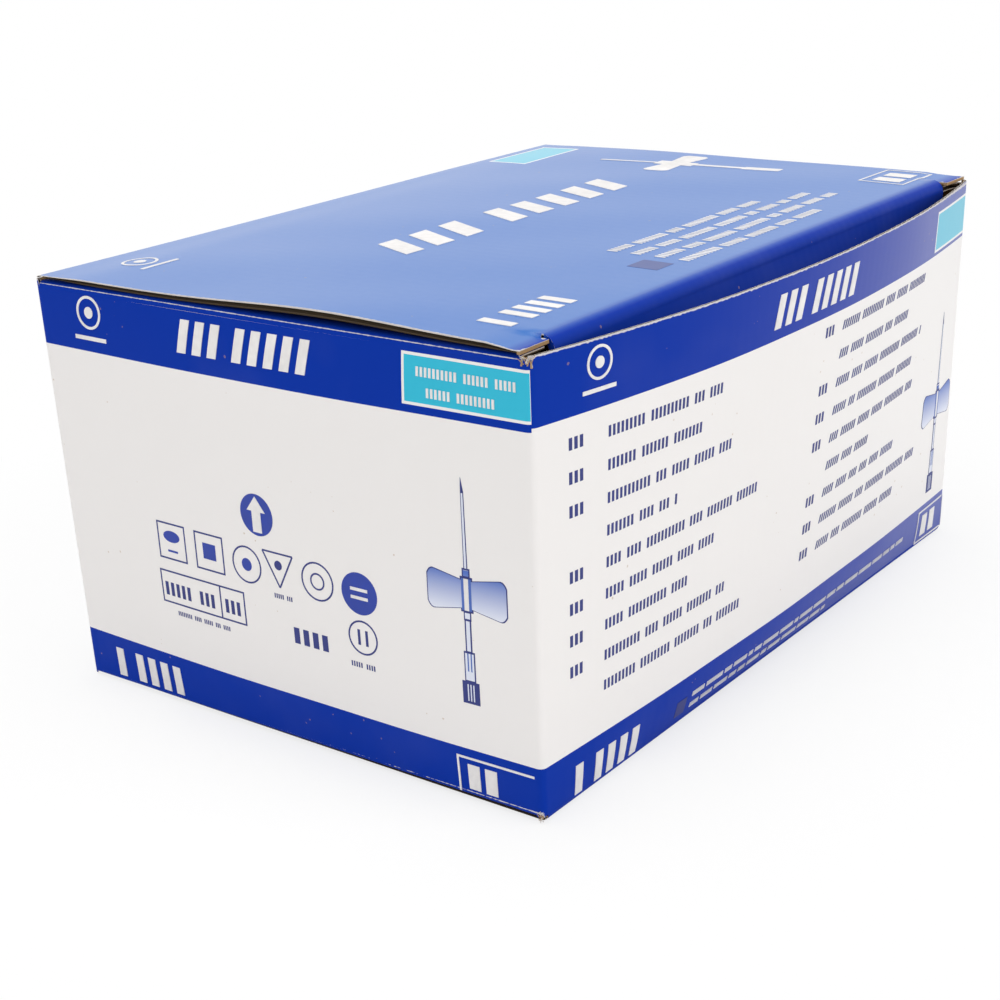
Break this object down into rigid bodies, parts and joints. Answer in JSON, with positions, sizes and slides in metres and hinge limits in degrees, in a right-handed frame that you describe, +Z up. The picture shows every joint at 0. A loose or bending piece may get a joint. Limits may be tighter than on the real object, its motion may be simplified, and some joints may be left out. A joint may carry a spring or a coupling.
{
  "type": "tuck-lid folding carton",
  "caption": "Rectangular micro-flute folding carton with a hinged tuck-in lid, dust flaps and a glued bottom, for small packed goods.",
  "frame": {"origin": "middle of the base on the ground, between the four walls' folds", "axes": "+Z up; +X along the long walls; the long front wall that the lid tucks into faces -Y; the lid is hinged along the top of the back wall at +Y"},
  "size_m": [0.201, 0.1478, 0.1],
  "materials": {
    "board": "printed, satin varnish",
    "lid_board": "printed, satin varnish"
  },
  "bodies": {
    "carton": {"carton": "board"},
    "lid": {"lid": "lid_board"}
  },
  "joints": [
    {"name": "lid_hinge", "type": "hinge", "parent": "carton", "child": "lid", "pos_m": [0, 0.06725, 0.09925], "axis": [-1, 0, 0], "range_deg": [0, 180]}
  ]
}
